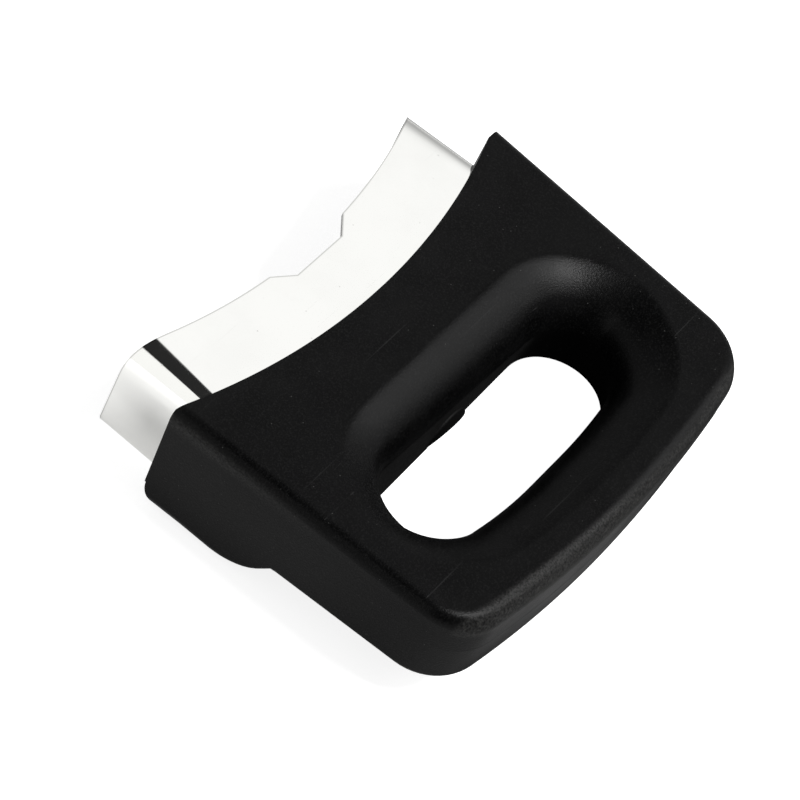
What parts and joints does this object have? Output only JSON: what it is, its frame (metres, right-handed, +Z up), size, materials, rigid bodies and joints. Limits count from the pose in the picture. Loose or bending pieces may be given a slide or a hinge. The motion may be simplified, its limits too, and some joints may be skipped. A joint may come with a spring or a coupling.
{
  "type": "pot side handle",
  "caption": "Side handle of a cooking pot: a black moulded grip with an oblong finger hole, a polished steel flame guard curved to the pot wall and a tilted fixing screw.",
  "frame": {"origin": "on the pot wall, in the middle of the handle's width and at mid height of the flame guard", "axes": "+X along the pot wall, +Y away from the pot, +Z up"},
  "size_m": [0.0836, 0.0696, 0.0225],
  "materials": {
    "phenolic": "satin",
    "stainless": "polished",
    "plated_steel": "satin"
  },
  "bodies": {
    "handle": {"grip": "phenolic", "flame_guard": "stainless", "spring_washer": "plated_steel", "plain_washer": "plated_steel"},
    "screw": {"fixing_screw": "plated_steel"}
  },
  "joints": [
    {"name": "screw_turn", "type": "hinge", "parent": "handle", "child": "screw", "pos_m": [0, 0.0321, -0.00477], "axis": [0, -0.9511, 0.309], "continuous": true}
  ]
}
